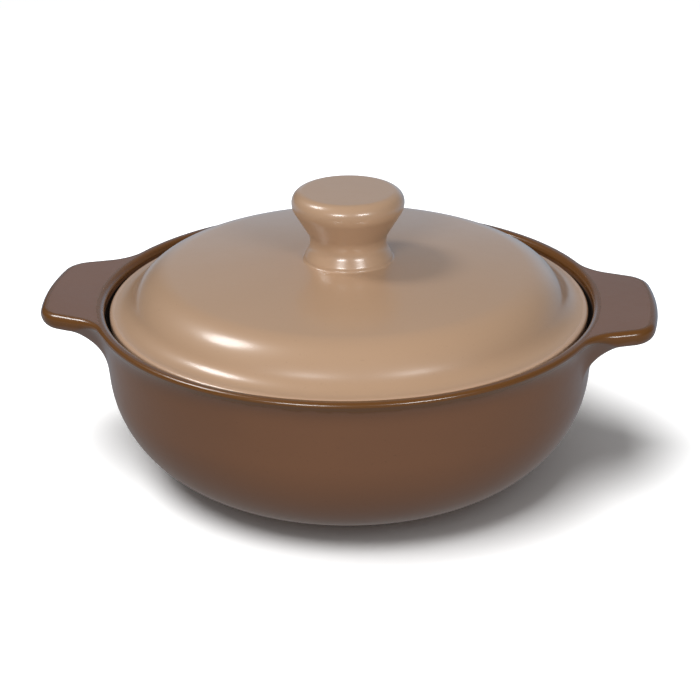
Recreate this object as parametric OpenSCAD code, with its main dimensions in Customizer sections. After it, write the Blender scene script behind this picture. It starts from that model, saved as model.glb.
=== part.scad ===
// Shallow glazed stoneware casserole: a round pot with two flat handles drawn out of its rim,
// and a low domed lid with a turned knob that rests on a ledge inside the rim.
// Frame: origin in the middle of the foot ring's underside, +Z up, +X along the handles.

/* [Pot] */
// Diameter over the rounded outside of the rim
rim_d = 235.5; // [220:0.5:256]
// Height of the rim above the table
pot_h = 78.5; // [72:0.5:100]
// Outer diameter of the foot ring
foot_d = 157; // [140:1:168]
// Radius of the big curve between the wall and the foot
bowl_r = 52; // [44:0.5:58]
// Lean of the upper wall, in degrees from upright
wall_lean = 4.9; // [3:0.1:7]
// How far the rim stands out over the wall below it
rim_out = 4.7; // [3:0.1:6]
// Depth over which the rim's outside flows back into the wall
rim_flow = 18; // [14:0.5:21]
// Thickness of the wall
wall_t = 7; // [5.5:0.1:8]
// Thickness of the floor, measured from the foot's underside
floor_t = 7.3; // [6:0.1:10]

/* [Rim and ledge] */
// Thickness of the rim beside the lid
rim_t = 5.3; // [5:0.1:6.4]
// Radius of the rim's outer top edge
rim_round = 1.6; // [1.2:0.1:2]
// Radius of the rim's inner top edge
rim_inner_round = 2.6; // [1.6:0.1:3]
// Radius in the corner of the ledge
ledge_round = 1.2; // [0.6:0.1:1.8]

/* [Foot ring] */
// Height of the foot ring below the bowl's curve
foot_h = 1.2; // [0.8:0.1:2]
// Width of the foot ring
foot_w = 6.5; // [5:0.5:9]
// Depth of the recess inside the foot ring
foot_recess = 1.6; // [1:0.1:2.2]
// Radius of the foot ring's outer edge
foot_round = 0.8; // [0.4:0.1:1]

/* [Handles] */
// Length over both handles
handle_span = 283; // [272:1:296]
// Width of a handle across its end, before the corners are rounded
handle_end_w = 66; // [58:1:74]
// Width of a handle where its sides meet the rim
handle_root_w = 84; // [76:1:92]
// Corner radius of a handle's end, seen from above
handle_corner_r = 14; // [9:0.5:17]
// Radius of the hollow curve between a handle's side and the rim
handle_root_r = 22; // [16:0.5:27]
// Thickness of a handle at its edge
handle_t = 7.7; // [6.8:0.1:9]
// Radius of a handle's top edge
handle_round = 2.7; // [2:0.1:3.2]
// Thickness that a handle gains on its way to the wall
handle_swell = 1.4; // [0.6:0.1:3]
// Depth over which a handle's underside flows into the wall
handle_flow = 27.5; // [23:0.5:30]

/* [Lid] */
// Gap between the lid's edge and the rim all round
lid_gap = 2.3; // [1.5:0.1:3]
// Depth of the flange's top face below the rim
lid_sink = 2.3; // [1.6:0.1:3.6]
// Thickness of the flange
flange_t = 5; // [4:0.1:6]
// Width of the flat flange outside the dome
flange_w = 2.1; // [1.9:0.1:4]
// Radius of the flange's upper edge
flange_round = 1.7; // [0.8:0.1:2]
// Radius of the flange's lower edge
flange_under_round = 0.8; // [0.4:0.1:1.2]
// Height of the dome above the flange
dome_h = 20.9; // [19.5:0.1:28]
// Radius of the dome's flat crown
crown_r = 830; // [600:10:1000]
// Radius of the dome's shoulder
shoulder_r = 23.5; // [19:0.5:27]
// Radius of the hollow curve between the shoulder and the flange
fillet_r = 10.8; // [8:0.1:13]
// Thickness of the dome
dome_t = 5.5; // [4.5:0.1:6.5]
// Slope of the dome's inside wall above the ledge, in degrees
hollow_slope = 62; // [56:1:68]

/* [Knob] */
// Diameter of the knob
knob_d = 51.4; // [48:0.2:56]
// Height of the knob above the dome
knob_h = 32.3; // [30:0.1:37]
// Radius of the knob's top edge
knob_round = 5.4; // [4.5:0.1:6.5]
// Radius of the knob's side below its widest line
knob_under_r = 8.4; // [6:0.1:10]
// Diameter of the knob's waist
waist_d = 34.9; // [33:0.1:36]
// Radius of the waist's hollow curve
waist_r = 8.2; // [7:0.1:8.6]
// Diameter of the roll at the foot of the knob
roll_d = 40.6; // [39.6:0.2:43]
// Radius of the roll
roll_r = 4.4; // [3.6:0.1:5]
// Height of the roll's widest line above the dome
roll_z = 0.4; // [0.2:0.1:1]
// Slope of the flare from the waist down to the roll, in degrees from upright
flare_slope = 28; // [26:1:34]
// Radius of the glaze in the crease under the roll
crease_r = 1.2; // [0.8:0.1:1.6]
// Diameter of the hollow inside the knob
knob_bore_d = 17; // [12:0.5:20]
// Thickness of clay over the hollow
knob_top_t = 12; // [9:0.5:16]

/* [Hidden] */
$fn = 120;
pot_colour = "#6b4735";
lid_colour = "#b8977b";

// Sampling of the handle and rim outline, and of the curves in a section
rim_steps = 17;
tip_steps = 4;
corner_steps = 5;
root_steps = 6;
edge_steps = 4;
under_steps = 6;
bowl_steps = 7;
foot_steps = 2;
ledge_steps = 4;
crown_steps = 10;
small_steps = 3;
arc_step = 7;

rim_r = rim_d/2;
foot_r = foot_d/2;
knob_r = knob_d/2;

// Arc about c from angle a to angle b, about arc_step degrees to a piece
function arc(c, r, a, b, n = 0) =
    let (m = n > 0 ? n : max(2, ceil(abs(b - a)/arc_step)))
    [for (i = [0:m]) let (t = a + (b - a)*i/m) c + r*[cos(t), sin(t)]];
function lerp(a, b, t) = a + (b - a)*t;
function angle(v) = atan2(v[1], v[0]);
function tail(list, from = 1) = [for (i = [from:len(list) - 1]) list[i]];
// Unit normal of the line that crosses over from circle 1 to circle 2
function cross_normal(c1, r1, c2, r2, side) =
    let (d = c2 - c1, a = angle(d) + side*acos((r1 + r2)/norm(d)))
    [cos(a), sin(a)];

// Outside of the bowl, in section: a leaning wall, then one big arc to the foot
wall_top = [rim_r - rim_out, pot_h - rim_flow];
wall_dir = [-sin(wall_lean), -cos(wall_lean)];
wall_in = [-cos(wall_lean), sin(wall_lean)];
foot_top = [foot_r, foot_h];
bowl_off = wall_top + bowl_r*wall_in - foot_top;
wall_len = -bowl_off*wall_dir - sqrt(pow(bowl_off*wall_dir, 2) - bowl_off*bowl_off + bowl_r*bowl_r);
bowl_c = wall_top + bowl_r*wall_in + wall_len*wall_dir;
bowl_a1 = angle(foot_top - bowl_c);
function wall_at(z) = wall_top[0] - (wall_top[1] - z)*tan(wall_lean);

// Rim, ledge and inside of the bowl
gallery_r = rim_r - rim_t;
seat_z = pot_h - lid_sink - flange_t;
inner_r = bowl_r - wall_t;
throat_r = bowl_c[0] + inner_r;

// Handle outline, seen from above: the line that the rounded top edge is struck from
crest_r = rim_r - rim_round;
tip_r = handle_span/2 - handle_round;
end_y = handle_end_w/2 - handle_round;
root_y = handle_root_w/2 - handle_round;
corner_r = handle_corner_r - handle_round;
root_r = handle_root_r + handle_round;
side_a = [sqrt(crest_r*crest_r - root_y*root_y), root_y];
side_b = [sqrt(tip_r*tip_r - end_y*end_y), end_y];
side_dir = (side_b - side_a)/norm(side_b - side_a);
side_out = [-side_dir[1], side_dir[0]];
// Centre of a circle at distance off from the side line and away from the pot's axis
function beside(p, off, away) =
    let (q = p + off*side_out, b = q*side_dir)
    q + (-b + sqrt(b*b - q*q + away*away))*side_dir;
root_c = beside(side_a, root_r, crest_r + root_r);
corner_c = beside(side_b, -corner_r, tip_r - corner_r);
root_a = angle(root_c);
corner_a = angle(corner_c);
side_a_deg = angle(side_out);

// Points of the outline with their outward normals, as [point, normal]
function rounded(c, r, a, b, n, sign = 1) =
    [for (i = [0:n]) let (t = a + (b - a)*i/n) [c + r*[cos(t), sin(t)], sign*[cos(t), sin(t)]]];
quarter = concat(
    rounded([0, 0], tip_r, 0, corner_a, tip_steps),
    tail(rounded(corner_c, corner_r, corner_a, side_a_deg, corner_steps)),
    rounded(root_c, root_r, side_a_deg + 180, root_a + 180, root_steps, -1),
    tail(rounded([0, 0], crest_r, root_a, 90, rim_steps)));
function flip(list, sx, sy) = [for (e = list) [[e[0][0]*sx, e[0][1]*sy], [e[1][0]*sx, e[1][1]*sy]]];
function back(list) = [for (i = [len(list) - 2:-1:1]) list[i]];
half = concat(quarter, back(flip(quarter, -1, 1)));
outline = concat(half, [flip(quarter, -1, 1)[0]], back(flip(half, 1, -1)));

// Section at one point of the outline, from the flat top round the edge, along the underside
// and down the wall to the foot: k is 0 at the rim and 1 at a handle's end
edge_in = 3.5;
rim_edge_turn = 18;
handle_edge_turn = 84;
rim_pull = 0.45;
handle_pull = 0.65;
// Shares of a handle's reach at which its underside has its own thickness, turn and depth
thick_share = 0.45;
turn_share = 0.6;
flow_share = 0.4;
function eased(t) = t*t*(3 - 2*t);
function part_way(k, share) = min(1, k/share);
function reach(p) = let (t = (norm(p) - crest_r)/(tip_r - crest_r)) max(0, min(1, t));
function top_round(k) = lerp(rim_round, handle_round, part_way(k, thick_share));
function under_t(k) = lerp(rim_round, handle_t - handle_round, part_way(k, thick_share));
function edge_turn(k) = lerp(rim_edge_turn, handle_edge_turn, part_way(k, turn_share));
function flow(k) = lerp(rim_flow, handle_flow, eased(part_way(k, flow_share)));
function place(p, n, out, z) = [p[0] + n[0]*out, p[1] + n[1]*out, z];
function bezier(a, b, c, d, n) =
    [for (i = [1:n]) let (t = i/n, s = 1 - t) s*s*s*a + 3*s*s*t*b + 3*s*t*t*c + t*t*t*d];
function section(e) =
    let (
        p = e[0], n = e[1], k = reach(p), u = p/norm(p), far = part_way(k, turn_share),
        edge_r = top_round(k), z0 = pot_h - edge_r, down = under_t(k), turn = edge_turn(k),
        from = place(p, n, edge_r - edge_in*(1 - cos(turn)), z0 - down*sin(turn)),
        way = [-n[0]*edge_in*sin(turn), -n[1]*edge_in*sin(turn), -down*cos(turn)],
        wz = pot_h - flow(k), wr = wall_at(wz),
        to = [u[0]*wr, u[1]*wr, wz],
        lift = [u[0]*sin(wall_lean), u[1]*sin(wall_lean), cos(wall_lean)],
        gap = norm([from[0] - to[0], from[1] - to[1]]), fall = from[2] - wz,
        drop = [0, 0, -handle_swell*k])
    concat(
        [for (i = [0:edge_steps]) let (a = 90 - 90*i/edge_steps)
            place(p, n, edge_r*cos(a), z0 + edge_r*sin(a))],
        [for (i = [1:edge_steps]) let (a = turn*i/edge_steps)
            place(p, n, edge_r - edge_in*(1 - cos(a)), z0 - down*sin(a))],
        bezier(from, from + way/norm(way)*lerp(fall*rim_pull, gap*handle_pull, far) + drop,
            to + lift*fall*lerp(rim_pull, handle_pull, far), to, under_steps),
        [for (r = wall_rings) [u[0]*r[0], u[1]*r[0], r[1]]]);
wall_rings = concat(
    arc(bowl_c, bowl_r, -wall_lean, bowl_a1, bowl_steps),
    arc([foot_r - foot_round, foot_round], foot_round, 0, -90, foot_steps));

// Closed skin: each column is a section from the top to the foot, and they run round the outline
module skin(columns) {
    n = len(columns);
    m = len(columns[0]);
    top = n*m;
    points = concat([for (c = columns) each c], [[0, 0, columns[0][0][2]], [0, 0, columns[0][m - 1][2]]]);
    faces = concat(
        [for (i = [0:n - 1], j = [0:m - 2]) let (a = i*m + j, b = ((i + 1)%n)*m + j) [a, b, a + 1]],
        [for (i = [0:n - 1], j = [0:m - 2]) let (a = i*m + j, b = ((i + 1)%n)*m + j) [b, b + 1, a + 1]],
        [for (i = [0:n - 1]) [top, ((i + 1)%n)*m, i*m]],
        [for (i = [0:n - 1]) [top + 1, i*m + m - 1, ((i + 1)%n)*m + m - 1]]);
    polyhedron(points, faces, convexity = 6);
}

// How far a cut runs past what it cuts, and where the inner rounding starts, so that it crosses the top
cut_over = 3;
mouth_turn = 84;

// Inside of the pot: rounded rim, gallery, ledge and bowl, open through the top
module cavity() {
    rim_c = [gallery_r + rim_inner_round, pot_h - rim_inner_round];
    ledge_c = [gallery_r - ledge_round, seat_z + ledge_round];
    throat_c = [throat_r + ledge_round, seat_z - ledge_round];
    floor_c = [throat_r - inner_r, floor_t + inner_r];
    mouth = arc(rim_c, rim_inner_round, mouth_turn, 180);
    rotate_extrude()
        polygon(concat(
            [[0, pot_h + cut_over], [mouth[0][0], pot_h + cut_over]],
            mouth,
            arc(ledge_c, ledge_round, 0, -90, ledge_steps),
            arc(throat_c, ledge_round, 90, 180, ledge_steps),
            arc(floor_c, inner_r, 0, -90),
            [[0, floor_t]]));
}

module foot_cut() {
    recess_r = foot_r - foot_w;
    rotate_extrude()
        polygon([[0, -cut_over], [recess_r, -cut_over], [recess_r, 0], [recess_r - foot_recess, foot_recess],
            [0, foot_recess]]);
}

module pot() {
    color(pot_colour)
    difference() {
        skin([for (e = outline) section(e)]);
        cavity();
        foot_cut();
    }
}

// Lid, in section
flange_z = seat_z + flange_t;
flange_r = gallery_r - lid_gap;
dome_r = flange_r - flange_w;
crown_c = [0, flange_z + dome_h - crown_r];
fillet_c = [dome_r, flange_z + fillet_r];
// The shoulder touches the crown from inside and the hollow curve from outside
crown_reach = crown_r - shoulder_r;
fillet_reach = shoulder_r + fillet_r;
span_v = fillet_c - crown_c;
span_u = span_v/norm(span_v);
span_x = (crown_reach*crown_reach - fillet_reach*fillet_reach + span_v*span_v)/(2*norm(span_v));
span_h = sqrt(crown_reach*crown_reach - span_x*span_x);
shoulder_c = crown_c + span_x*span_u + span_h*[-span_u[1], span_u[0]];
crown_a = angle(shoulder_c - crown_c);
shoulder_a = angle(fillet_c - shoulder_c);
function crown_z(r, t = 0) = crown_c[1] + sqrt(pow(crown_r - t, 2) - r*r);

// Knob, in section: rounded top edge, fuller side, hollow waist, roll and a glazed crease
knob_z = flange_z + dome_h + knob_h;
edge_c = [knob_r - knob_round, knob_z - knob_round];
side_c = [knob_r - knob_under_r, edge_c[1]];
crease_z = crown_z(roll_d/2);
roll_c = [roll_d/2 - roll_r, crease_z + roll_z];
crease_c = [roll_c[0] + sqrt(pow(roll_r + crease_r, 2) - pow(roll_c[1] - crease_z - crease_r, 2)),
    crease_z + crease_r];
flare_n = [cos(flare_slope), sin(flare_slope)];
flare_len = (waist_d/2 + waist_r - roll_c[0] - (roll_r + waist_r)*flare_n[0])/-flare_n[1];
waist_c = roll_c + (roll_r + waist_r)*flare_n + flare_len*[-flare_n[1], flare_n[0]];
edge_n = cross_normal(side_c, knob_under_r, waist_c, waist_r, 1);

module lid() {
    edge_a = angle(edge_n);
    crease_a = angle(crease_c - roll_c);
    hollow_c = shoulder_c;
    hollow_r = shoulder_r - dome_t;
    hollow_end = hollow_c + hollow_r*[sin(hollow_slope), cos(hollow_slope)];
    hollow_foot = hollow_end[0] + (hollow_end[1] - seat_z)/tan(hollow_slope);
    bore_r = knob_bore_d/2;
    bore_top = knob_z - knob_top_t;
    bore_z = crown_z(bore_r + crease_r, dome_t);
    color(lid_colour)
    rotate_extrude()
        polygon(concat(
            [[0, knob_z]],
            arc(edge_c, knob_round, 90, 0),
            tail(arc(side_c, knob_under_r, 0, edge_a)),
            arc(waist_c, waist_r, edge_a + 180, flare_slope + 180),
            arc(roll_c, roll_r, flare_slope, crease_a),
            arc(crease_c, crease_r, crease_a + 180, 270, small_steps),
            tail(arc(crown_c, crown_r, acos(crease_c[0]/crown_r), crown_a, crown_steps)),
            arc(shoulder_c, shoulder_r, crown_a, shoulder_a),
            arc(fillet_c, fillet_r, shoulder_a + 180, 270),
            arc([flange_r - flange_round, flange_z - flange_round], flange_round, 90, 0, ledge_steps),
            arc([flange_r - flange_under_round, seat_z + flange_under_round], flange_under_round, 0, -90,
                small_steps),
            [[hollow_foot, seat_z]],
            arc(hollow_c, hollow_r, 90 - hollow_slope, crown_a),
            arc(crown_c, crown_r - dome_t, crown_a, acos((bore_r + crease_r)/(crown_r - dome_t)),
                crown_steps),
            [[bore_r, bore_z + crease_r]],
            arc([0, bore_top - bore_r], bore_r, 0, 90)));
}

pot();
lid();
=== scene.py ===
import math
import bmesh
import bpy
from mathutils import Matrix, Vector


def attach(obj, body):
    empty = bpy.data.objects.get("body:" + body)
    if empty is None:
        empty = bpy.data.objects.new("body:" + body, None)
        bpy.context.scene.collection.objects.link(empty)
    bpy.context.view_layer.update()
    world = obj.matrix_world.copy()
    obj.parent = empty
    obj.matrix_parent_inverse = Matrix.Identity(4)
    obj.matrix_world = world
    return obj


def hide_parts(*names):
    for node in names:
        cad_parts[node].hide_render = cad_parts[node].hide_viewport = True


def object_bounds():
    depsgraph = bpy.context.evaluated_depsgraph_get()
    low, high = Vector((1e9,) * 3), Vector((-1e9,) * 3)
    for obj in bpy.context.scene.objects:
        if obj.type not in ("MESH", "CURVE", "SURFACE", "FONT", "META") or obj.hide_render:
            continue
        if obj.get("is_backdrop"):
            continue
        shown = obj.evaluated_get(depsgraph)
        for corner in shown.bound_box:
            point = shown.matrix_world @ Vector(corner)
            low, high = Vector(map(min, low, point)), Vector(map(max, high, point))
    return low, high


# Glazed stoneware casserole: the pot with its two drawn-out handles, and the domed lid with its knob.
# Lengths are in millimetres until a vertex is placed.
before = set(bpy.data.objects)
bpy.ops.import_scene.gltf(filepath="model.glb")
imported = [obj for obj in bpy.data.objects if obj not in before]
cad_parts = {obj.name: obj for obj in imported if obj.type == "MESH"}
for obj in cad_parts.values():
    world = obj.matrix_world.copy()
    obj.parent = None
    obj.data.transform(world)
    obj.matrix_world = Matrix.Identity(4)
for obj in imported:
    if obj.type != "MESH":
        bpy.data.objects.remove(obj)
cad_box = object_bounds()
MM = 0.001

# Sizes of the pot, the same as in the part's source
RIM_D, POT_H, FOOT_D, BOWL_R, WALL_LEAN = 235.5, 78.5, 157, 52, 4.9
RIM_OUT, RIM_FLOW, WALL_T, FLOOR_T = 4.7, 18, 7, 7.3
RIM_T, RIM_ROUND, RIM_INNER_ROUND, LEDGE_ROUND = 5.3, 1.6, 2.6, 1.2
FOOT_H, FOOT_W, FOOT_RECESS, FOOT_ROUND = 1.2, 6.5, 1.6, 0.8
HANDLE_SPAN, HANDLE_END_W, HANDLE_ROOT_W = 283, 66, 84
HANDLE_CORNER_R, HANDLE_ROOT_R, HANDLE_ROUND = 14, 22, 2.7
HANDLE_T, HANDLE_SWELL, HANDLE_FLOW = 7.7, 1.4, 27.5
EDGE_IN, RIM_EDGE_TURN, HANDLE_EDGE_TURN = 3.5, 18, 84
RIM_PULL, HANDLE_PULL = 0.45, 0.65
THICK_SHARE, TURN_SHARE, FLOW_SHARE = 0.45, 0.6, 0.4

# Sizes of the lid and its knob
LID_GAP, LID_SINK, FLANGE_T, FLANGE_W = 2.3, 2.3, 5, 2.1
FLANGE_ROUND, FLANGE_UNDER_ROUND = 1.7, 0.8
DOME_H, CROWN_R, SHOULDER_R, FILLET_R, DOME_T, HOLLOW_SLOPE = 20.9, 830, 23.5, 10.8, 5.5, 62
KNOB_D, KNOB_H, KNOB_ROUND, KNOB_UNDER_R, WAIST_D, WAIST_R = 51.4, 32.3, 5.4, 8.4, 34.9, 8.2
ROLL_D, ROLL_R, ROLL_Z, FLARE_SLOPE, CREASE_R = 40.6, 4.4, 0.4, 28, 1.2
KNOB_BORE_D, KNOB_TOP_T = 17, 12

# Columns of faces round each piece, by stretch of a quarter of the pot's outline, and round the lid
TIP_COLUMNS, CORNER_COLUMNS, SIDE_COLUMNS, ROOT_COLUMNS, RIM_COLUMNS = 8, 12, 8, 16, 48
LID_COLUMNS = 240
# The small disc at each pole, and how far from a flat's end the ring beside a curve lies
POLE_R, HOLD = 1.5, 0.35
# Rings on the pot's flat top beside its two edges: the largest share of the way across, and the distance
FLAT_RINGS = (0.1, HOLD), (0.25, 1.5), (0.4, 3)

# Bands where the glaze has run thin, which on the lid's flange edge is also a painted highlight: full to
# the first distance, and faded out over the second
INNER_BAND, CREST_BAND, OUTER_BAND, FLANGE_BAND = (1.8, 1.8), (0, 1.6), (3, 4), (0.5, 2.2)
# The value below zero on the next line marks the ledge and lower gallery wall, in the gap under the lid,
# for painted shade.
GALLERY_BAND, GALLERY_THIN, POOLED = 4, 0.9, -1
FLANGE_BAND_IN, FLANGE_CLEAR, SEAT_CLEAR = 0.6, 2, 1


def sin(a): return math.sin(math.radians(a))


def cos(a): return math.cos(math.radians(a))


def angle(x, y): return math.degrees(math.atan2(y, x))


def lerp(a, b, t): return a + (b - a)*t


def lerp_point(a, b, t): return (lerp(a[0], b[0], t), lerp(a[1], b[1], t))


def smooth(t):
    t = max(0, min(1, t))
    return t*t*(3 - 2*t)


def arc(c, r, a, b, n):
    """Points about c from angle a to angle b, in degrees, in n steps."""
    return [(c[0] + r*cos(lerp(a, b, i/n)), c[1] + r*sin(lerp(a, b, i/n))) for i in range(n + 1)]


def straight(a, b, n):
    """Points between a and b in n steps, with one held close to each end so that a flat stays flat."""
    hold = min(0.25, HOLD/math.hypot(b[0] - a[0], b[1] - a[1]))
    return [lerp_point(a, b, t) for t in [lerp(hold, 1 - hold, i/n) for i in range(n)] + [1 - hold]]


# Outside of the bowl, in section
wall_top = (RIM_D/2 - RIM_OUT, POT_H - RIM_FLOW)
gap_x = wall_top[0] - BOWL_R*cos(WALL_LEAN) - FOOT_D/2
gap_z = wall_top[1] + BOWL_R*sin(WALL_LEAN) - FOOT_H
along_wall = -gap_x*sin(WALL_LEAN) - gap_z*cos(WALL_LEAN)
wall_len = -along_wall - math.sqrt(along_wall**2 - gap_x**2 - gap_z**2 + BOWL_R**2)
bowl_c = (wall_top[0] - BOWL_R*cos(WALL_LEAN) - wall_len*sin(WALL_LEAN),
          wall_top[1] + BOWL_R*sin(WALL_LEAN) - wall_len*cos(WALL_LEAN))
bowl_end = angle(FOOT_D/2 - bowl_c[0], FOOT_H - bowl_c[1])


def wall_at(z): return wall_top[0] - (wall_top[1] - z)*sin(WALL_LEAN)/cos(WALL_LEAN)


gallery_r = RIM_D/2 - RIM_T
seat_z = POT_H - LID_SINK - FLANGE_T
inner_r = BOWL_R - WALL_T
throat_r = bowl_c[0] + inner_r

# Handle outline, seen from above
crest_r = RIM_D/2 - RIM_ROUND
tip_r = HANDLE_SPAN/2 - HANDLE_ROUND
end_y = HANDLE_END_W/2 - HANDLE_ROUND
root_y = HANDLE_ROOT_W/2 - HANDLE_ROUND
corner_r = HANDLE_CORNER_R - HANDLE_ROUND
root_r = HANDLE_ROOT_R + HANDLE_ROUND
side_a = Vector((math.sqrt(crest_r**2 - root_y**2), root_y))
side_b = Vector((math.sqrt(tip_r**2 - end_y**2), end_y))
side_dir = (side_b - side_a).normalized()
side_out = Vector((-side_dir.y, side_dir.x))


def beside(p, off, away):
    """Centre of a circle at distance off from the handle's side and away from the pot's axis."""
    q = p + off*side_out
    b = q.dot(side_dir)
    return q + (-b + math.sqrt(b*b - q.dot(q) + away*away))*side_dir


def rounded(c, r, a, b, n, sign=1):
    """Points of an arc with their outward normals."""
    turns = [lerp(a, b, i/n) for i in range(n + 1)]
    return [(Vector((c[0] + r*cos(t), c[1] + r*sin(t))), sign*Vector((cos(t), sin(t)))) for t in turns]


def outline():
    """The line that the rounded top edge is struck from, once round the pot."""
    root_c = beside(side_a, root_r, crest_r + root_r)
    corner_c = beside(side_b, -corner_r, tip_r - corner_r)
    corner_a, root_a, side_deg = angle(*corner_c), angle(*root_c), angle(*side_out)
    corner = rounded(corner_c, corner_r, corner_a, side_deg, CORNER_COLUMNS)
    root = rounded(root_c, root_r, side_deg + 180, root_a + 180, ROOT_COLUMNS, -1)
    start, end = corner[-1][0], root[0][0]
    side = [(start.lerp(end, i/SIDE_COLUMNS), side_out) for i in range(1, SIDE_COLUMNS)]
    quarter = (rounded((0, 0), tip_r, 0, corner_a, TIP_COLUMNS) + corner[1:] + side + root
               + rounded((0, 0), crest_r, root_a, 90, RIM_COLUMNS)[1:])
    flip = lambda points, x, y: [(Vector((p.x*x, p.y*y)), Vector((n.x*x, n.y*y))) for p, n in points]
    half = quarter + flip(quarter, -1, 1)[-2::-1]
    return half + flip(half, 1, -1)[-2:0:-1]


def bezier(a, b, c, d, n):
    """Points after a on the curve from a to d that b and c pull on, in n steps."""
    steps = [i/n for i in range(1, n + 1)]
    return [(1 - t)**3*a + 3*(1 - t)**2*t*b + 3*(1 - t)*t*t*c + t**3*d for t in steps]


def pot_column(p, n):
    """One column of the pot's rings, from the middle of the bowl over the rim to the middle of the foot."""
    u = p.normalized()
    k = max(0, min(1, (p.length - crest_r)/(tip_r - crest_r)))
    thick, far, deep = (min(1, k/s) for s in (THICK_SHARE, TURN_SHARE, FLOW_SHARE))
    round_at = lambda r, z: Vector((u.x*r, u.y*r, z))
    out_at = lambda d, z: Vector((p.x + n.x*d, p.y + n.y*d, z))
    floor_c = (throat_r - inner_r, FLOOR_T + inner_r)
    ledge_c = (throat_r + LEDGE_ROUND, seat_z - LEDGE_ROUND)
    gallery_c = (gallery_r - LEDGE_ROUND, seat_z + LEDGE_ROUND)
    edge_c = (gallery_r + RIM_INNER_ROUND, POT_H - RIM_INNER_ROUND)
    inside = (straight((POLE_R, FLOOR_T), (floor_c[0], FLOOR_T), 5)
              + arc(floor_c, inner_r, -90, 0, 24)
              + straight((throat_r, floor_c[1]), (throat_r, ledge_c[1]), 3)
              + arc(ledge_c, LEDGE_ROUND, 180, 90, 5)
              + straight((ledge_c[0], seat_z), (gallery_c[0], seat_z), 2)
              + arc(gallery_c, LEDGE_ROUND, -90, 0, 5)
              + straight((gallery_r, gallery_c[1]), (gallery_r, edge_c[1]), 1)
              + arc(edge_c, RIM_INNER_ROUND, 180, 90, 8))
    column = [round_at(r, z) for r, z in inside]
    inner_edge, crest = round_at(edge_c[0], POT_H), out_at(0, POT_H)
    near = [min(share, d/(crest - inner_edge).length) for share, d in FLAT_RINGS]
    flat = near + [0.5] + [1 - t for t in reversed(near)]
    column += [inner_edge.lerp(crest, t) for t in flat]
    # The rounded upper edge, the blunt lower edge, and the long hollow curve under them to the wall
    edge_r = lerp(RIM_ROUND, HANDLE_ROUND, thick)
    z0 = POT_H - edge_r
    down = lerp(RIM_ROUND, HANDLE_T - HANDLE_ROUND, thick)
    turn = lerp(RIM_EDGE_TURN, HANDLE_EDGE_TURN, far)
    wz = POT_H - lerp(RIM_FLOW, HANDLE_FLOW, smooth(deep))
    column += [out_at(d, z) for d, z in arc((0, z0), edge_r, 90, 0, 8)]
    column += [out_at(edge_r - EDGE_IN*(1 - cos(a)), z0 - down*sin(a))
               for a in (turn*i/8 for i in range(1, 9))]
    start = column[-1]
    end = round_at(wall_at(wz), wz)
    way = Vector((-n.x*EDGE_IN*sin(turn), -n.y*EDGE_IN*sin(turn), -down*cos(turn))).normalized()
    lift = Vector((u.x*sin(WALL_LEAN), u.y*sin(WALL_LEAN), cos(WALL_LEAN)))
    gap = math.hypot(start.x - end.x, start.y - end.y)
    fall = start.z - wz
    column += bezier(start, start + way*lerp(fall*RIM_PULL, gap*HANDLE_PULL, far)
                     + Vector((0, 0, -HANDLE_SWELL*k)),
                     end + lift*fall*lerp(RIM_PULL, HANDLE_PULL, far), end, 16)
    bowl = arc(bowl_c, BOWL_R, -WALL_LEAN, bowl_end, 30)
    foot_c = (FOOT_D/2 - FOOT_ROUND, FOOT_ROUND)
    foot_in = (FOOT_D/2 - FOOT_W, 0)
    recess = (foot_in[0] - FOOT_RECESS, FOOT_RECESS)
    under = (straight((wall_at(wz), wz), bowl[0], 3) + bowl
             + arc(foot_c, FOOT_ROUND, 0, -90, 5)
             + straight((foot_c[0], 0), foot_in, 2) + [foot_in]
             + straight(foot_in, recess, 1) + [recess]
             + straight(recess, (POLE_R, FOOT_RECESS), 4))
    return column + [round_at(r, z) for r, z in under]


# Lid, in section
flange_z = seat_z + FLANGE_T
flange_r = gallery_r - LID_GAP
crown_c = (0, flange_z + DOME_H - CROWN_R)
fillet_c = (flange_r - FLANGE_W, flange_z + FILLET_R)


def meeting(a, ra, b, rb):
    """The upper crossing of two circles about a and b."""
    dx, dz = b[0] - a[0], b[1] - a[1]
    d = math.hypot(dx, dz)
    x = (ra*ra - rb*rb + d*d)/(2*d)
    h = math.sqrt(ra*ra - x*x)
    return (a[0] + x*dx/d - h*dz/d, a[1] + x*dz/d + h*dx/d)


shoulder_c = meeting(crown_c, CROWN_R - SHOULDER_R, fillet_c, SHOULDER_R + FILLET_R)
crown_a = angle(shoulder_c[0], shoulder_c[1] - crown_c[1])
shoulder_a = angle(fillet_c[0] - shoulder_c[0], fillet_c[1] - shoulder_c[1])


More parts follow.
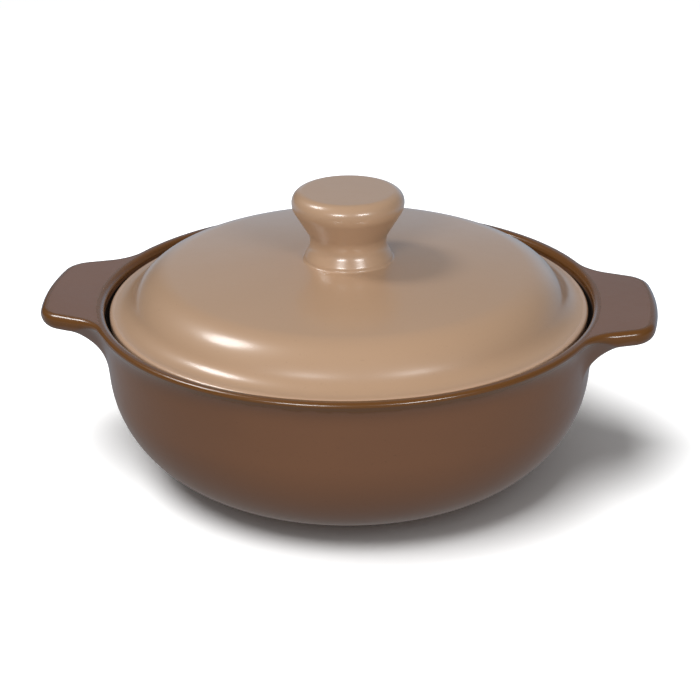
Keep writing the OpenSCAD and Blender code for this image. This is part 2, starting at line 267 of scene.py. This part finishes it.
def lid_profile():
    """The lid's rings, from the middle of the knob over the dome and flange to the hollow in the knob."""
    knob_z = flange_z + DOME_H + KNOB_H
    edge_c = (KNOB_D/2 - KNOB_ROUND, knob_z - KNOB_ROUND)
    side_c = (KNOB_D/2 - KNOB_UNDER_R, edge_c[1])
    crease_z = crown_c[1] + math.sqrt(CROWN_R**2 - (ROLL_D/2)**2)
    roll_c = (ROLL_D/2 - ROLL_R, crease_z + ROLL_Z)
    reach = ROLL_R + CREASE_R
    crease_c = (roll_c[0] + math.sqrt(reach**2 - (roll_c[1] - crease_z - CREASE_R)**2),
                crease_z + CREASE_R)
    fx, fz = cos(FLARE_SLOPE), sin(FLARE_SLOPE)
    bend = ROLL_R + WAIST_R
    flare_len = (WAIST_D/2 + WAIST_R - roll_c[0] - bend*fx)/-fz
    waist_c = (roll_c[0] + bend*fx - flare_len*fz, roll_c[1] + bend*fz + flare_len*fx)
    dx, dz = waist_c[0] - side_c[0], waist_c[1] - side_c[1]
    edge_a = angle(dx, dz) + math.degrees(math.acos((KNOB_UNDER_R + WAIST_R)/math.hypot(dx, dz)))
    crease_a = angle(crease_c[0] - roll_c[0], crease_c[1] - roll_c[1])
    edge = arc(edge_c, KNOB_ROUND, 90, 0, 14) + arc(side_c, KNOB_UNDER_R, 0, edge_a, 8)[1:]
    waist = arc(waist_c, WAIST_R, edge_a + 180, FLARE_SLOPE + 180, 16)
    roll = arc(roll_c, ROLL_R, FLARE_SLOPE, crease_a, 10)
    crease = arc(crease_c, CREASE_R, crease_a + 180, 270, 6)
    crown = arc(crown_c, CROWN_R, math.degrees(math.acos(crease_c[0]/CROWN_R)), crown_a, 14)
    fillet = arc(fillet_c, FILLET_R, shoulder_a + 180, 270, 10)
    top_edge = arc((flange_r - FLANGE_ROUND, flange_z - FLANGE_ROUND), FLANGE_ROUND, 90, 0, 8)
    low_edge = arc((flange_r - FLANGE_UNDER_ROUND, seat_z + FLANGE_UNDER_ROUND),
                   FLANGE_UNDER_ROUND, 0, -90, 5)
    hollow_r = SHOULDER_R - DOME_T
    hx, hz = sin(HOLLOW_SLOPE), cos(HOLLOW_SLOPE)
    hollow_end = (shoulder_c[0] + hollow_r*hx, shoulder_c[1] + hollow_r*hz)
    hollow_foot = (hollow_end[0] + (hollow_end[1] - seat_z)*hz/hx, seat_z)
    bore_r, under_r = KNOB_BORE_D/2, CROWN_R - DOME_T
    inner_crown = arc(crown_c, under_r, crown_a, math.degrees(math.acos((bore_r + CREASE_R)/under_r)), 12)
    lip = (bore_r, inner_crown[-1][1] + CREASE_R)
    bore_end = arc((0, knob_z - KNOB_TOP_T - bore_r), bore_r, 0, 80, 8)
    return (straight((POLE_R, knob_z), edge[0], 3) + edge + straight(edge[-1], waist[0], 4) + waist
            + straight(waist[-1], roll[0], 3) + roll + crease[1:] + crown[1:]
            + arc(shoulder_c, SHOULDER_R, crown_a, shoulder_a, 22)[1:] + fillet[1:]
            + straight(fillet[-1], top_edge[0], 1) + top_edge
            + straight(top_edge[-1], low_edge[0], 1) + low_edge
            + straight(low_edge[-1], hollow_foot, 3) + [hollow_foot]
            + straight(hollow_foot, hollow_end, 3)
            + arc(shoulder_c, hollow_r, 90 - HOLLOW_SLOPE, crown_a, 12) + inner_crown[1:]
            + [lerp_point(inner_crown[-1], lip, 0.5), lip] + straight(lip, bore_end[0], 5) + bore_end)


def throw(name, columns, thin):
    """Throws a piece ring by ring: a small disc is added, and its edge is extruded out, over and under
    to each ring of the columns in turn. thin(point, column) says how far the glaze has run off a point,
    from 0 to 1, or gives a value below zero where the gap under the lid is painted near-black as shade."""
    count = len(columns)
    by_turn = lambda point: math.atan2(point.y, point.x) % math.tau
    bpy.ops.object.select_all(action="DESELECT")
    bpy.ops.mesh.primitive_circle_add(vertices=count, radius=POLE_R*MM, fill_type="TRIFAN",
                                      location=(0, 0, columns[0][0].z*MM))
    piece = bpy.context.active_object
    piece.name = piece.data.name = name
    bpy.ops.object.transform_apply(location=True, rotation=True, scale=True)
    bpy.ops.object.mode_set(mode="EDIT")
    bpy.ops.mesh.select_mode(type="EDGE")
    bpy.ops.mesh.select_all(action="DESELECT")
    bm = bmesh.from_edit_mesh(piece.data)
    place = bm.verts.layers.int.new("place")
    run = bm.verts.layers.float.new("thin")
    rim = sorted((v for v in bm.verts if v.is_boundary), key=lambda v: by_turn(v.co))
    for v, i in zip(rim, sorted(range(count), key=lambda i: by_turn(columns[i][0]))):
        v[place] = i
    for e in bm.edges:
        e.select = e.is_boundary
    for j in range(len(columns[0])):
        if j:
            bpy.ops.mesh.extrude_edges_move()
            bm = bmesh.from_edit_mesh(piece.data)
            place, run = bm.verts.layers.int["place"], bm.verts.layers.float["thin"]
        for v in bm.verts:
            if v.select or (not j and v.is_boundary):
                point = columns[v[place]][j]
                v.co = point*MM
                v[run] = thin(point, v[place])
        bmesh.update_edit_mesh(piece.data)
    bpy.ops.mesh.extrude_edges_move()
    bpy.ops.mesh.merge(type="CENTER")
    bpy.ops.mesh.select_all(action="SELECT")
    bpy.ops.mesh.normals_make_consistent(inside=False)
    bpy.ops.object.mode_set(mode="OBJECT")
    bpy.ops.object.shade_smooth()
    return piece


edges = outline()


def band(distance, full, fade): return 1 - smooth((distance - full)/fade)


def pot_thin_and_shade(point, column):
    """Thin on the flat top's two edges, inside the rim and down the outside, and painted shade, near-black
    and matt, on the ledge and lower gallery wall in the gap under the lid.
    """
    p, n = edges[column]
    inward = (p.x - point.x)*n.x + (p.y - point.y)*n.y
    r = math.hypot(point.x, point.y)
    if point.z > POT_H - 0.01:
        inner = band(abs(r - gallery_r - RIM_INNER_ROUND), *INNER_BAND) if r < crest_r else 0
        return max(band(inward, *CREST_BAND), inner)
    if r < gallery_r + RIM_INNER_ROUND and point.z > POT_H - GALLERY_BAND:
        return GALLERY_THIN
    # The ledge and lower gallery wall, in the gap under the lid, are painted near-black as shade.
    if r < gallery_r + 0.5 and point.z > seat_z - 2*LEDGE_ROUND:
        return POOLED
    if r < throat_r + 1 and point.z > FLOOR_T - 0.1:
        return 0
    return band(POT_H - point.z, *OUTER_BAND)


def lid_thin_and_highlight(point, column):
    """Thin glaze on the edge of the flange, where its lighter tan is also a painted highlight."""
    if not seat_z + SEAT_CLEAR < point.z <= flange_z + FLANGE_CLEAR:
        return 0
    return band(abs(math.hypot(point.x, point.y) - flange_r + FLANGE_BAND_IN), *FLANGE_BAND)


pot = throw("glazed_pot", [pot_column(p, n) for p, n in edges], pot_thin_and_shade)
turns = [360*i/LID_COLUMNS for i in range(LID_COLUMNS)]
profile = lid_profile()
lid = throw("glazed_lid", [[Vector((r*cos(t), r*sin(t), z)) for r, z in profile] for t in turns], lid_thin_and_highlight)


# Glaze and clay: how fine each grain is, in spots per metre
POOL_GRAIN, SPECK_GRAIN, THIN_GRAIN, LEVEL_GRAIN, CLAY_GRAIN = 14, 900, 120, 90, 1500
DRIFT_GRAIN, PEEL_GRAIN, WAVE_GRAIN, PIT_GRAIN = 35, 260, 40, 700
SPECKS, LOW_ROUGHNESS, HIGH_ROUGHNESS, EDGE_ROUGHNESS, BARE_ROUGHNESS = 0.15, 0.34, 0.40, 0.26, 0.85
GLAZE_IOR, COAT_ROUGHNESS, BUMP_STRENGTH, BUMP_DISTANCE = 1.45, 0.19, 0.25, 0.0004
PEEL_DEPTH, PIT_DEPTH = 0.35, -0.35
# Bare clay ends this far from its level face, in metres, on a line that wanders to both sides
BARE_END, BARE_FULL, BARE_WANDER = 0.0011, 0.0006, 0.00025
# The third colour on the next line is painted shade: the near-black of the gap under the lid.
GREY, DARK_CLAY, POOLED_GLAZE = (0.5, 0.5, 0.5, 1), (0.2, 0.13, 0.09, 1), (0.018, 0.009, 0.005, 1)
COLOUR, NUMBER, DIRECTION = "NodeSocketColor", "NodeSocketFloat", "NodeSocketVector"


def node(tree, kind, **settings):
    made = tree.nodes.new(kind)
    for key, value in settings.items():
        setattr(made, key, value)
    return made


def link(tree, a, b):
    tree.links.new(a, b)


def feed(tree, value, socket):
    """Links an output to a socket, or gives the socket a plain number or colour."""
    if hasattr(value, "is_linked"):
        link(tree, value, socket)
    else:
        socket.default_value = value


def fill(tree, made, values):
    """Feeds a node's sockets by their labels, and gives its outputs."""
    for label, value in values.items():
        feed(tree, value, made.inputs[label])
    return made.outputs


def group(name, inputs, outputs):
    """A shader node group with named sockets, as (tree, its inputs, its outputs)."""
    tree = bpy.data.node_groups.new(name, "ShaderNodeTree")
    for label, kind, value in inputs:
        socket = tree.interface.new_socket(name=label, in_out="INPUT", socket_type=kind)
        socket.default_value = value
    for label, kind in outputs:
        tree.interface.new_socket(name=label, in_out="OUTPUT", socket_type=kind)
    return tree, node(tree, "NodeGroupInput").outputs, node(tree, "NodeGroupOutput").inputs


def noise(tree, where, scale, detail, roughness=0.5):
    values = {"Vector": where, "Scale": scale, "Detail": detail, "Roughness": roughness}
    return fill(tree, node(tree, "ShaderNodeTexNoise"), values)["Fac"]


def ranged(tree, value, a, b, c=0.0, d=1.0):
    """Eases from c to d as the value goes from a to b."""
    made = node(tree, "ShaderNodeMapRange", interpolation_type="SMOOTHSTEP")
    values = {"Value": value, "From Min": a, "From Max": b, "To Min": c, "To Max": d}
    return fill(tree, made, values)["Result"]


def maths(tree, operation, *values):
    made = node(tree, "ShaderNodeMath", operation=operation)
    for socket, value in zip(made.inputs, values):
        feed(tree, value, socket)
    return made.outputs[0]


def mixed(tree, share, a, b, kind="RGBA"):
    made = node(tree, "ShaderNodeMix", data_type=kind)
    return fill(tree, made, {"Factor": share, "A": a, "B": b})["Result"]


def split(tree, direction):
    made = node(tree, "ShaderNodeSeparateXYZ")
    link(tree, direction, made.inputs[0])
    return made.outputs


def glaze_colour_group():
    """Glaze colour: slow pooling, fine speckle, and the edge tone where it has run thin, which on the lid's
    lighter flange edge is also a painted highlight.
    """
    tree, given, gives = group("glaze colour", [
        ("Where", DIRECTION, (0, 0, 0)), ("Thin", NUMBER, 0.0), ("Body", COLOUR, GREY),
        ("Pooled", COLOUR, GREY), ("Edge", COLOUR, GREY), ("Speck", COLOUR, GREY),
        ("Pooling", NUMBER, 0.5), ("Specks", NUMBER, 0.3)],
        [("Colour", COLOUR), ("Edge mask", NUMBER)])
    where = given["Where"]
    slow = ranged(tree, noise(tree, where, POOL_GRAIN, 2), 0.38, 0.66)
    pooled = mixed(tree, maths(tree, "MULTIPLY", slow, given["Pooling"]), given["Body"], given["Pooled"])
    specks = ranged(tree, noise(tree, where, SPECK_GRAIN, 2), 0.66, 0.74)
    speckled = mixed(tree, maths(tree, "MULTIPLY", specks, given["Specks"]), pooled, given["Speck"])
    wander = ranged(tree, noise(tree, where, THIN_GRAIN, 3), 0.3, 0.7, -0.16, 0.16)
    edge = ranged(tree, maths(tree, "ADD", given["Thin"], wander), 0.2, 0.85)
    link(tree, mixed(tree, edge, speckled, given["Edge"]), gives["Colour"])
    link(tree, edge, gives["Edge mask"])
    return tree


def glaze_finish_group():
    """Glaze finish: roughness that drifts a little and is least on the edges, and the height of orange
    peel and pinholes."""
    tree, given, gives = group("glaze finish", [
        ("Where", DIRECTION, (0, 0, 0)), ("Low", NUMBER, 0.2), ("High", NUMBER, 0.3),
        ("Edge", NUMBER, 0.15), ("Edge mask", NUMBER, 0.0)],
        [("Roughness", NUMBER), ("Height", NUMBER)])
    where = given["Where"]
    drift = ranged(tree, noise(tree, where, DRIFT_GRAIN, 4, 0.6), 0.3, 0.7)
    rough = mixed(tree, drift, given["Low"], given["High"], "FLOAT")
    link(tree, mixed(tree, given["Edge mask"], rough, given["Edge"], "FLOAT"), gives["Roughness"])
    peel = maths(tree, "MULTIPLY", noise(tree, where, PEEL_GRAIN, 2), PEEL_DEPTH)
    height = maths(tree, "ADD", peel, noise(tree, where, WAVE_GRAIN, 1))
    pits = ranged(tree, noise(tree, where, PIT_GRAIN, 1), 0.72, 0.8, 0.0, PIT_DEPTH)
    link(tree, maths(tree, "ADD", height, pits), gives["Height"])
    return tree


def clay_and_gap_shade_group():
    """Bare clay where a level face is left unglazed, and painted shade, near-black and matt, where the
    pot's thin value is below zero: the ledge in the gap under the lid.
    """
    tree, given, gives = group("bare clay and gap shade", [
        ("Where", DIRECTION, (0, 0, 0)), ("Level", NUMBER, 0.0), ("Thin", NUMBER, 0.0),
        ("Glazed", COLOUR, GREY), ("Clay", COLOUR, GREY), ("Roughness", NUMBER, 0.2),
        ("Height", NUMBER, 0.0)],
        [("Colour", COLOUR), ("Roughness", NUMBER), ("Height", NUMBER), ("Mask", NUMBER)])
    where = given["Where"]
    away = maths(tree, "ABSOLUTE", maths(tree, "SUBTRACT", split(tree, where)["Z"], given["Level"]))
    wander = ranged(tree, noise(tree, where, LEVEL_GRAIN, 3), 0.3, 0.7, -BARE_WANDER, BARE_WANDER)
    bare = ranged(tree, maths(tree, "ADD", away, wander), BARE_END, BARE_FULL)
    # Painted shade: near-black and matt in the gap under the lid, where the pot's thin value is below zero.
    shaded_gap = ranged(tree, given["Thin"], -0.1, -0.8)
    mask = maths(tree, "MAXIMUM", bare, shaded_gap)
    grain = noise(tree, where, CLAY_GRAIN, 3, 0.7)
    clay = mixed(tree, ranged(tree, grain, 0.3, 0.7, 0, 0.6), given["Clay"], DARK_CLAY)
    dull = mixed(tree, shaded_gap, clay, POOLED_GLAZE)
    link(tree, mixed(tree, mask, given["Glazed"], dull), gives["Colour"])
    link(tree, mixed(tree, mask, given["Roughness"], BARE_ROUGHNESS, "FLOAT"), gives["Roughness"])
    link(tree, mixed(tree, mask, given["Height"], grain, "FLOAT"), gives["Height"])
    link(tree, mask, gives["Mask"])
    return tree


glaze_colour, glaze_finish, clay_and_gap_shade = glaze_colour_group(), glaze_finish_group(), clay_and_gap_shade_group()


def use_group(tree, shared, values):
    return fill(tree, node(tree, "ShaderNodeGroup", node_tree=shared), values)


def glaze(name, body, pooled, edge, speck, clay, pooling, coat, bare_level):
    """A satin stoneware glaze, left off the face at bare_level, and painted near-black as shade where thin
    is below zero, in the gap under the lid.
    """
    material = bpy.data.materials.new(name)
    material.use_nodes = True
    tree = material.node_tree
    shader = tree.nodes["Principled BSDF"]
    where = node(tree, "ShaderNodeTexCoord").outputs["Object"]
    thin = node(tree, "ShaderNodeAttribute", attribute_name="thin").outputs["Fac"]
    colour = use_group(tree, glaze_colour, {
        "Where": where, "Thin": thin, "Body": body, "Pooled": pooled, "Edge": edge, "Speck": speck,
        "Pooling": pooling, "Specks": SPECKS})
    finish = use_group(tree, glaze_finish, {
        "Where": where, "Low": LOW_ROUGHNESS, "High": HIGH_ROUGHNESS, "Edge": EDGE_ROUGHNESS,
        "Edge mask": colour["Edge mask"]})
    # Bare clay on the level face, and painted shade in the gap under the lid.
    foot = use_group(tree, clay_and_gap_shade, {
        "Where": where, "Level": bare_level, "Thin": thin, "Glazed": colour["Colour"], "Clay": clay,
        "Roughness": finish["Roughness"], "Height": finish["Height"]})
    bump = fill(tree, node(tree, "ShaderNodeBump"), {
        "Strength": BUMP_STRENGTH, "Distance": BUMP_DISTANCE, "Height": foot["Height"]})
    glazed = maths(tree, "SUBTRACT", 1.0, foot["Mask"])
    fill(tree, shader, {
        "Base Color": foot["Colour"], "Roughness": foot["Roughness"], "IOR": GLAZE_IOR,
        "Normal": bump["Normal"], "Coat Weight": maths(tree, "MULTIPLY", glazed, coat),
        "Coat Roughness": COAT_ROUGHNESS})
    return material


brown = glaze(
    "brown_satin_glaze", body=(0.185, 0.084, 0.041, 1), pooled=(0.170, 0.078, 0.040, 1),
    edge=(0.142, 0.056, 0.012, 1), speck=(0.05, 0.025, 0.015, 1), clay=(0.42, 0.29, 0.19, 1),
    pooling=0.6, coat=0.7, bare_level=0.0)
# The tan's lighter edge colour is thin glaze and also a painted highlight along the flange edge.
tan = glaze(
    "tan_satin_glaze", body=(0.455, 0.292, 0.182, 1), pooled=(0.475, 0.305, 0.192, 1),
    edge=(0.52, 0.34, 0.225, 1), speck=(0.26, 0.16, 0.10, 1), clay=(0.46, 0.34, 0.24, 1),
    pooling=0.5, coat=0.85, bare_level=seat_z*MM)
for piece, material, cad_node, slot in ((pot, brown, "pot", "brown_glaze"), (lid, tan, "lid", "tan_glaze")):
    piece.data.materials.clear()
    piece.data.materials.append(material)
    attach(piece, "root")
    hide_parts(cad_node)


# Floor, world and lamps
# Reflections see a cool sweep behind the piece, dimmer higher up, and a dim room in front of it
SWEEP, SWEEP_HIGH, ROOM = (0.46, 0.60, 0.76, 1), (0.16, 0.20, 0.24, 1), (0.04, 0.045, 0.05, 1)
FLOOR_BEHIND, FLOOR_IN_FRONT, WHITE = (0.36, 0.46, 0.57, 1), (0.27, 0.245, 0.235, 1), (1, 1, 1, 1)
# What each does as light on the piece, and what the camera sees of it
FLOOR_LIGHT, FLOOR_SEEN = (0.135, 0.135, 0.135, 1), (1.15, 1.15, 1.15, 1)
WORLD_LIGHT, WORLD_SEEN = (0.3, 0.3, 0.3, 1), WHITE
# Where one turns into the other: metres on the floor, and parts of a direction in the sky
MIRRORED_FLOOR, FAR_FLOOR, FLOOR_SIZE = (-0.08, 0.3), (0.5, 1.0), 8
SKY_UP, SKY_BACK, SKY_LEFT, SKY_RIGHT = (0.1, 0.45), (0.2, 0.9), (-0.48, -0.22), (0.25, 0.55)
RIGHT_SHARE = 0.6
LAMP_AIM = Vector((0, 0, 0.08))


def floor_material():
    """White floor, which the camera sees brighter than it lights the piece. Reflections see it without
    the shadow, dim in front and cool and bright behind. Far off, the camera sees it plain white."""
    material = bpy.data.materials.new("white_floor")
    material.use_nodes = True
    tree = material.node_tree
    tree.nodes.remove(tree.nodes["Principled BSDF"])
    path = node(tree, "ShaderNodeLightPath").outputs
    here = node(tree, "ShaderNodeTexCoord").outputs["Object"]
    away = node(tree, "ShaderNodeVectorMath", operation="LENGTH")
    link(tree, here, away.inputs[0])
    back = ranged(tree, split(tree, here)["Y"], *MIRRORED_FLOOR)
    mirrored = mixed(tree, back, FLOOR_IN_FRONT, FLOOR_BEHIND)
    far = maths(tree, "MULTIPLY", path["Is Camera Ray"], ranged(tree, away.outputs["Value"], *FAR_FLOOR))
    diffuse = node(tree, "ShaderNodeBsdfDiffuse")
    link(tree, mixed(tree, path["Is Camera Ray"], FLOOR_LIGHT, FLOOR_SEEN), diffuse.inputs["Color"])
    glow = node(tree, "ShaderNodeEmission")
    link(tree, mixed(tree, path["Is Camera Ray"], mirrored, WHITE), glow.inputs["Color"])
    either = node(tree, "ShaderNodeMixShader")
    glowing = maths(tree, "MAXIMUM", path["Is Glossy Ray"], far)
    for output, socket in zip((glowing, diffuse.outputs[0], glow.outputs[0]), either.inputs):
        link(tree, output, socket)
    link(tree, either.outputs[0], tree.nodes["Material Output"].inputs["Surface"])
    # The glow is only looked at and lights nothing, so it is left out of the lamps
    material.cycles.emission_sampling = "NONE"
    return material


bpy.ops.object.select_all(action="DESELECT")
bpy.ops.mesh.primitive_plane_add(size=FLOOR_SIZE, location=(0, 0, 0))
floor = bpy.context.active_object
floor.name = "floor"
floor.data.materials.append(floor_material())
floor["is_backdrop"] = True

world = bpy.data.worlds.new("studio")
bpy.context.scene.world = world
world.use_nodes = True
sky = world.node_tree
path = node(sky, "ShaderNodeLightPath").outputs
seen = maths(sky, "MAXIMUM", path["Is Camera Ray"], path["Is Transmission Ray"])
toward = split(sky, node(sky, "ShaderNodeTexCoord").outputs["Generated"])
behind = mixed(sky, ranged(sky, toward["Z"], *SKY_UP), SWEEP, SWEEP_HIGH)
across = maths(sky, "MULTIPLY", ranged(sky, toward["X"], *SKY_LEFT),
               ranged(sky, toward["X"], *SKY_RIGHT, 1, RIGHT_SHARE))
share = maths(sky, "MULTIPLY", ranged(sky, toward["Y"], *SKY_BACK), across)
lit = mixed(sky, path["Is Glossy Ray"], WORLD_LIGHT, mixed(sky, share, ROOM, behind))
link(sky, mixed(sky, seen, lit, WORLD_SEEN), sky.nodes["Background"].inputs["Color"])

# Lamps for the piece leave the floor out, and one lamp of its own draws the shadow on it
floor_set = {}
for state in ("EXCLUDE", "INCLUDE"):
    floor_set[state] = bpy.data.collections.new("floor_" + state.lower())
    floor_set[state].objects.link(floor)
    floor_set[state].collection_objects[0].light_linking.link_state = state


def softbox(name, turn, lift, distance, width, height, power, floor_link="EXCLUDE"):
    """An oval area lamp aimed at the lid, turned to the right of the front and lifted, in degrees."""
    back = Vector((sin(turn)*cos(lift), -cos(turn)*cos(lift), sin(lift)))
    lamp = bpy.data.lights.new(name, "AREA")
    lamp.shape = "ELLIPSE"
    lamp.size, lamp.size_y, lamp.energy = width, height, power
    holder = bpy.data.objects.new(name, lamp)
    bpy.context.scene.collection.objects.link(holder)
    holder.location = LAMP_AIM + distance*back
    holder.rotation_euler = back.to_track_quat("Z", "Y").to_euler()
    holder.light_linking.receiver_collection = floor_set[floor_link]


softbox("key", -96, 53, 1.5, 0.45, 0.45, 8.6)
softbox("front_left", -15, 28, 1.6, 0.60, 0.20, 10.3)
softbox("front_right", 37, 28, 1.6, 0.60, 0.20, 8.8)
softbox("floor_lamp", -58, 73, 3.2, 3.0, 3.0, 160.0, "INCLUDE")

# Camera, from the photograph: millimetres and degrees in the part's frame, focal length in image widths
FOCAL, DISTANCE, ELEVATION, AZIMUTH = 1842.38/700, 863.68, 23.904, 5.279
AIM_SIDE, AIM_Z, ROLL = 0.343, 50.407, -0.4815
SENSOR = 36
backward = Vector((sin(AZIMUTH)*cos(ELEVATION), -cos(AZIMUTH)*cos(ELEVATION), sin(ELEVATION)))
rightward = Vector((cos(AZIMUTH), sin(AZIMUTH), 0))
upward = backward.cross(rightward)
eye = rightward*AIM_SIDE + Vector((0, 0, AIM_Z)) + backward*DISTANCE
right_axis = rightward*cos(ROLL) + upward*sin(ROLL)
up_axis = upward*cos(ROLL) - rightward*sin(ROLL)
lens = bpy.data.cameras.new("camera")
lens.sensor_width = SENSOR
lens.lens = FOCAL*SENSOR
lens.clip_start, lens.clip_end = 0.05, 20
camera = bpy.data.objects.new("camera", lens)
bpy.context.scene.collection.objects.link(camera)
turned = Matrix((right_axis, up_axis, backward)).transposed()
camera.matrix_world = Matrix.Translation(eye*MM) @ turned.to_4x4()
bpy.context.scene.camera = camera
bpy.context.scene.view_settings.view_transform = "Standard"

plain = lambda box: [[float(x) for x in corner] for corner in box]
{"cad": plain(cad_box), "visual": plain(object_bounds())}
